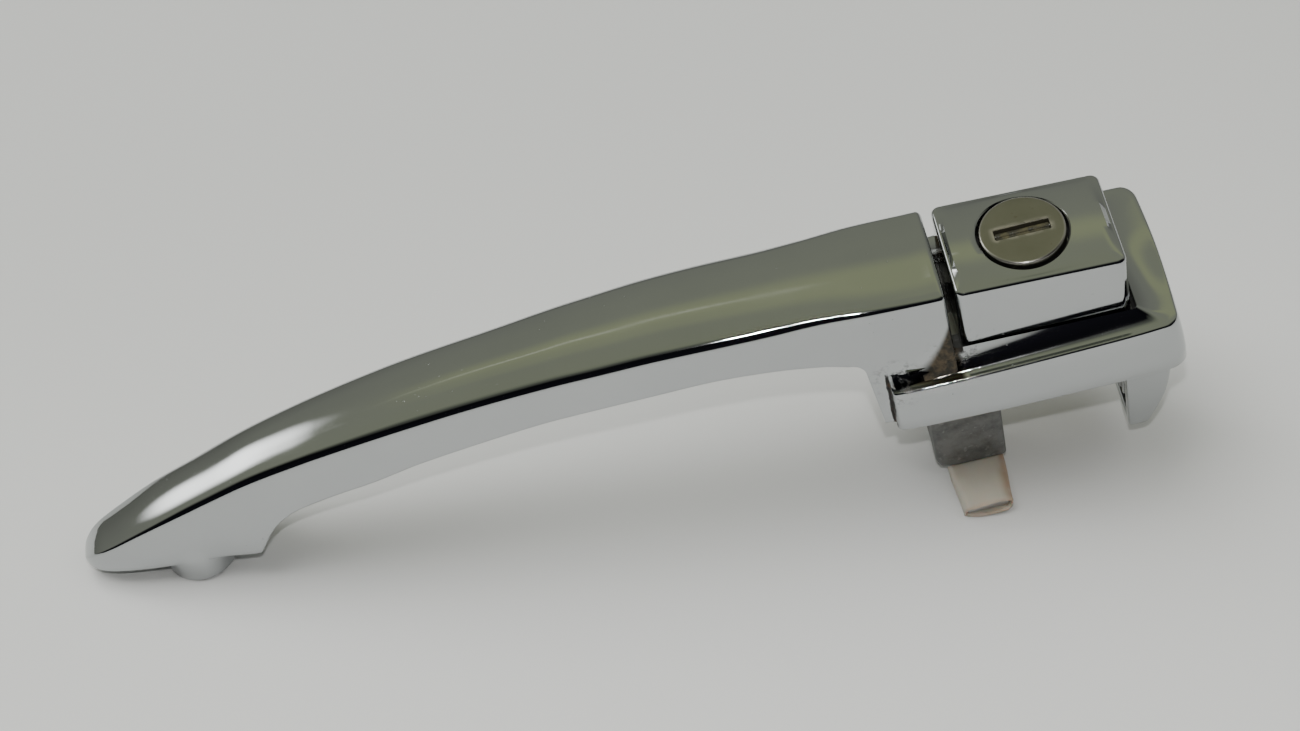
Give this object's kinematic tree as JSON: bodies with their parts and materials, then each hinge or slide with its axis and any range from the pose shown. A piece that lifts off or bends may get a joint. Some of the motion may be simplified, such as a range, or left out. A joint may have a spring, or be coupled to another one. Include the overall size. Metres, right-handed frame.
{
  "type": "car door handle",
  "caption": "Car door outside pull handle: tapered arched grip with front foot, rear base, sprung push button holding a key lock, plunger with turning tongue, and fixing leg.",
  "frame": {"origin": "axis of the threaded front fixing hole at the plane of the door skin", "axes": "+X along the handle from the front foot to the rear base, +Z out of the door, +Y across the handle (up the door on one side of the car)"},
  "size_m": [0.2141, 0.0386, 0.0605],
  "materials": {
    "chrome_body": "aged bright chrome plate",
    "chrome_button": "bright chrome plate",
    "plug_face": "worn satin nickel",
    "barrel_zinc": "dull die-cast zinc",
    "shutter_brass": "grimy brass",
    "plunger_zinc": "dull mottled die-cast zinc",
    "sleeve_plastic": "translucent cream plastic",
    "tongue_steel": "zinc-plated steel",
    "spindle_steel": "zinc-plated steel",
    "insert_steel": "plated steel",
    "nut_steel": "plated steel",
    "plate_steel": "yellow passivated steel",
    "screw_steel": "zinc-plated steel",
    "pad_rubber": "matte",
    "seal_rubber": "matte",
    "spring_steel": "bright wire",
    "pin_steel": "bright",
    "crank_steel": "zinc-plated steel",
    "wafer_brass": "plain brass"
  },
  "bodies": {
    "housing": {"handle_body": "chrome_body", "front_insert": "insert_steel", "leg_nut": "nut_steel", "retainer_plate": "plate_steel", "retainer_screws": "screw_steel", "bump_pads": "pad_rubber", "return_spring": "spring_steel"},
    "button": {"push_button": "chrome_button", "button_seal": "seal_rubber", "lock_barrel": "barrel_zinc", "plug_seal": "seal_rubber", "plunger_carrier": "plunger_zinc", "carrier_screws": "screw_steel"},
    "lock": {"lock_plug": "plug_face", "shutter_pin": "pin_steel", "shutter_spring": "spring_steel", "plug_clip": "pin_steel", "lock_crank": "crank_steel", "wafer_springs": "spring_steel"},
    "shutter": {"keyway_shutter": "shutter_brass"},
    "wafer_pair_left": {"wafers_left": "wafer_brass"},
    "wafer_pair_right": {"wafers_right": "wafer_brass"},
    "link": {"lock_link": "crank_steel"},
    "tongue": {"tongue_spindle": "spindle_steel", "tongue_blade": "tongue_steel", "tongue_sleeve": "sleeve_plastic"}
  },
  "joints": [
    {"name": "button_press", "type": "slide", "parent": "housing", "child": "button", "axis": [0, 0, -1], "range_m": [0, 0.0045], "stiffness_N_per_m": 900, "springref_m": -0.003, "deforming": ["return_spring"]},
    {"name": "lock_turn", "type": "hinge", "parent": "button", "child": "lock", "pos_m": [0.166, 0, 0], "axis": [0, 0, 1], "range_deg": [0, 90]},
    {"name": "tongue_turn", "type": "hinge", "parent": "button", "child": "tongue", "pos_m": [0.1505, -0.002, 0], "axis": [0, 0, 1], "range_deg": [0, 90]},
    {"name": "link_swing", "type": "hinge", "parent": "lock", "child": "link", "pos_m": [0.16897, 0.00297, 0.0114], "axis": [0, 0, 1], "range_deg": [-90, 0]},
    {"name": "shutter_flap", "type": "hinge", "parent": "lock", "child": "shutter", "pos_m": [0.166, 0.00055, 0.0303], "axis": [1, 0, 0], "range_deg": [0, 80], "stiffness_Nm_per_rad": 0.0003, "springref_deg": -11.46},
    {"name": "wafer_left_slide", "type": "slide", "parent": "lock", "child": "wafer_pair_left", "axis": [-1, 0, 0], "range_m": [0, 0.0008], "stiffness_N_per_m": 40},
    {"name": "wafer_right_slide", "type": "slide", "parent": "lock", "child": "wafer_pair_right", "axis": [1, 0, 0], "range_m": [0, 0.0008], "stiffness_N_per_m": 40}
  ],
  "couplings": [
    {"joint": "tongue_turn", "follows": "lock_turn", "ratio": 1},
    {"joint": "link_swing", "follows": "lock_turn", "ratio": -1},
    {"joint": "wafer_right_slide", "follows": "wafer_left_slide", "ratio": 1}
  ]
}
